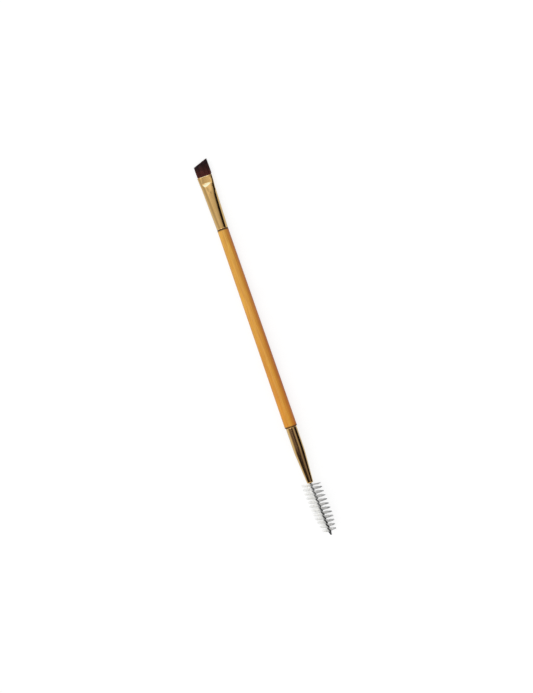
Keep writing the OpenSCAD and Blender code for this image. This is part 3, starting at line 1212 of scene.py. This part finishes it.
# %% Soft box
def add_soft_box(place, size, power):
    """Rectangular lamp that points at the middle of the table."""
    light = bpy.data.lights.new("soft_box", "AREA")
    light.shape = "RECTANGLE"
    light.size, light.size_y = size
    light.energy = power
    lamp = bpy.data.objects.new("soft_box", light)
    lamp.location = place
    aim = Vector((0, 0, 0)) - Vector(place)
    lamp.rotation_euler = aim.to_track_quat("-Z", "Y").to_euler()
    bpy.context.scene.collection.objects.link(lamp)
    print("soft box of", power, "W at", place)


add_soft_box((0, 0.5, 1.3), (1.2, 0.9), 5.0)

# %% [markdown]
# ## Cards for the gold to mirror
#
# Polished metal is only as good as what it mirrors: gold in an all-white room looks
# like cream plastic. A product photographer therefore stands black and white cards
# round it. The cards here are seen by mirror rays only, so they draw the stripes on
# the two ferrules and cast no shadow on the table. Each card carries a glow on its
# points, and Blender blends between them. Dim places are tinted slightly purple, which
# the gold turns into brown. What the cards look like was worked out backwards from the
# photograph, by trial.

# %% A card that only mirror rays see
def make_card(name, points, faces, glows, tint=(1, 1, 1, 1)):
    """Stage card that glows by a number on each point."""
    material = bpy.data.materials.new(name)
    material.use_nodes = True
    tree = material.node_tree
    tree.nodes.remove(tree.nodes["Principled BSDF"])
    glow = stored_number(tree, "glow")
    lit = math_node(tree, "MULTIPLY", glow, 3.0, clamp=True)
    colour = blend_colours(tree, lit, (1.0, 0.72, 1.05, 1), tint)
    emission = add_node(tree, "ShaderNodeEmission", Color=colour, Strength=glow)
    tree.links.new(emission.outputs[0], tree.nodes["Material Output"].inputs["Surface"])
    mesh = bpy.data.meshes.new(name)
    mesh.from_pydata(points, [], faces)
    mesh.materials.append(material)
    mesh.attributes.new("glow", "FLOAT", "POINT").data.foreach_set("value", glows)
    card = bpy.data.objects.new(name, mesh)
    for kind in ("camera", "diffuse", "transmission", "volume_scatter", "shadow"):
        setattr(card, f"visible_{kind}", False)
    bpy.context.scene.collection.objects.link(card)
    print(name, len(points), "points")


def add_tunnel(name, radius, rows):
    """Card bent round the brush. Each row is a place along X with its stops, and a stop is
    a direction in degrees and a glow. Zero is up and a positive direction leans to -Y,
    which is the picture's right."""
    points, glows = [], []
    for x, stops in rows:
        for direction, glow in stops:
            angle = math.radians(direction)
            points.append((x, -radius * math.sin(angle), radius * math.cos(angle)))
            glows.append(glow)
    count = len(rows[0][1])
    faces = [
        (i * count + j, i * count + j + 1, (i + 1) * count + j + 1, (i + 1) * count + j)
        for i in range(len(rows) - 1)
        for j in range(count - 1)
    ]
    make_card(name, points, faces, glows)


# %% [markdown]
# ## The tunnel round the front ferrule
#
# The stripes of the ferrule come from a card that is bent round the brush like a
# tunnel. A round tube mirrors nearly all directions within its narrow width, so a
# stripe on the tube is a range of directions in the tunnel. The more a part slopes
# toward the head, the further out along X it mirrors the card, so the rows differ.
# From left to right a row has a pale edge, a faint streak, a middle, and one dark
# stripe with a sharp start and end.

# %% Front tunnel
tunnel_r = 0.3


def front_stops(dark_from, dark_to, streak, left, mid, slope, neck):
    """Stops of one row. The dark stripe lies between two directions in degrees."""
    return [
        (-97, 0.75), (-85, 0.68), (-70, 0.58), (-54, 0.5), (-41, 0.56), (-29, streak),
        (-13, left), (-2, mid), (10, slope), (24, neck),
        (dark_from - 9, 0.68 * neck), (dark_from, 0.015),
        (dark_from + 4, 0.01), (dark_to - 3, 0.01), (dark_to + 2, 0.5), (112, 0.75),
    ]


front_rows = [
    (0.04, 41, 87, 0.62, 0.62, 0.62, 0.46, 0.46),
    (0.088, 41, 80, 0.64, 0.62, 0.62, 0.46, 0.46),
    (0.0975, 41, 79, 0.68, 0.66, 0.64, 0.48, 0.48),
    (0.102, 38, 89, 0.74, 0.68, 0.66, 0.48, 0.48),
    (0.1115, 41, 92, 0.74, 0.7, 0.68, 0.54, 0.54),
    (0.115, 47, 92, 0.78, 0.7, 0.7, 0.58, 0.58),
    (0.119, 57, 92, 0.92, 0.66, 0.72, 0.66, 0.66),
    (0.125, 63, 92, 0.95, 0.62, 0.72, 0.72, 0.72),
    (0.1285, 66, 94, 0.95, 1.0, 0.66, 0.26, 0.62),
    (0.132, 67, 94, 0.95, 1.0, 0.66, 0.26, 0.62),
    (0.137, 70, 94, 0.95, 0.54, 0.74, 0.9, 0.9),
    (0.149, 72, 94, 0.85, 0.56, 0.74, 0.92, 0.92),
    (0.16, 72, 94, 1.1, 1.0, 0.95, 1.0, 1.0),
    (0.205, 72, 94, 1.2, 1.2, 1.2, 1.1, 1.1),
]
add_tunnel("front_tunnel", tunnel_r, [(x, front_stops(*row)) for x, *row in front_rows])

# %% [markdown]
# ## The tunnel round the rear ferrule
#
# The rear ferrule shows two dark stripes with a brown one between them. All its rows
# use the same directions, with three sets of glows: one for the joint, which is the
# brightest, one for the start of the taper, and one for the nose.

# %% Rear tunnel
directions = (
    -97, -88, -78, -70, -60, -47, -36, -25, -16, -7, 4, 13, 22, 32, 41, 48, 56, 64, 92, 97
)
joint_glows = (
    0.9, 0.8, 0.55, 0.42, 0.22, 0.12, 0.15, 0.18, 0.1, 0.04,
    0.05, 0.1, 0.28, 0.5, 0.4, 0.18, 0.06, 0.01, 0.01, 0.1,
)
taper_glows = (
    0.9, 0.6, 0.26, 0.12, 0.04, 0.02, 0.05, 0.08, 0.05, 0.02,
    0.08, 0.18, 0.28, 0.32, 0.26, 0.12, 0.03, 0.01, 0.01, 0.1,
)
nose_glows = (
    0.7, 0.36, 0.16, 0.08, 0.04, 0.01, 0.01, 0.02, 0.03, 0.04,
    0.1, 0.22, 0.3, 0.24, 0.18, 0.12, 0.04, 0.01, 0.01, 0.05,
)
rear_rows = (
    (-0.16, nose_glows), (-0.108, nose_glows), (-0.083, taper_glows),
    (-0.055, joint_glows), (-0.026, joint_glows),
)
add_tunnel("rear_tunnel", tunnel_r, [(x, list(zip(directions, g))) for x, g in rear_rows])

# %% [markdown]
# ## Strips beside the metal, and the card over the ramp
#
# The sides of a ferrule mirror the table close by, under the edge of the tunnel. A low
# dark strip on the table beside each ferrule closes that gap, and darkens the edge of
# the metal on the picture's right. The ramp of the press face looks far out over the
# table, so a bright cool card stands there, and the ramp shows it as the small white
# triangle. The card reaches down nearly to the table, so that the whole ramp mirrors it.

# %% Dark strips beside the ferrules
def add_strip(name, x_from, x_to, y, height):
    """Low dark strip that stands on the table."""
    strip_glow = 0.01
    corners = [(x_from, y, 0), (x_to, y, 0), (x_to, y, height), (x_from, y, height)]
    make_card(name, corners, [(0, 1, 2, 3)], [strip_glow] * 4)


add_strip("rear_strip", -0.07, -0.036, -16 * MM, 6 * MM)
add_strip("front_strip", 0.0735, 0.0815, -11 * MM, 5 * MM)

# %% Bright card over the ramp
head_glow = 3.2
head_points = [
    (0.252, -0.12, 0.362), (0.252, 0.16, 0.362), (0.459, 0.16, 0.1), (0.459, -0.12, 0.1),
    (0.48, 0.16, 0.01), (0.48, -0.12, 0.01),
]
head_faces = [(0, 1, 2, 3), (3, 2, 4, 5)]
cool_white = (0.37, 0.56, 1.0, 1)
make_card("head_card", head_points, head_faces, [head_glow] * 6, tint=cool_white)

# %% [markdown]
# ## Camera
#
# The camera looks straight down at the flat side of the head. The photograph shows the
# brush leaning to the left by nineteen degrees, so the camera is rolled by that angle.
# A long lens keeps the outline from spreading. The place of the camera follows from
# one fixed point, the joint of the shaft and the front ferrule, whose place in the
# picture was measured, and from the size that one pixel is taken to show.

# %% Camera
roll = math.radians(19.07)
pixel_size = 0.44 * MM
image_size = np.array((533, 693))
joint_pixel = np.array((222.7, 229.3))
camera_data = bpy.data.cameras.new("camera")
camera_data.lens = 100
camera_data.sensor_width = 36
camera_data.clip_start = 0.01
joint = LAY @ Vector((0, 0, shaft_len))
picture_right = Vector((-math.sin(roll), -math.cos(roll), 0))
picture_up = Vector((math.cos(roll), -math.sin(roll), 0))
to_centre = (image_size / 2 - joint_pixel) * pixel_size
centre = joint + picture_right * to_centre[0] - picture_up * to_centre[1]
distance = image_size[1] * pixel_size * camera_data.lens / camera_data.sensor_width
camera = bpy.data.objects.new("camera", camera_data)
camera.location = (centre.x, centre.y, joint.z + distance)
camera.rotation_euler = (0, 0, -(math.pi / 2 + roll))
bpy.context.scene.collection.objects.link(camera)
bpy.context.scene.camera = camera
bpy.context.scene.view_settings.view_transform = "Standard"
print("camera at", [round(v, 4) for v in camera.location])
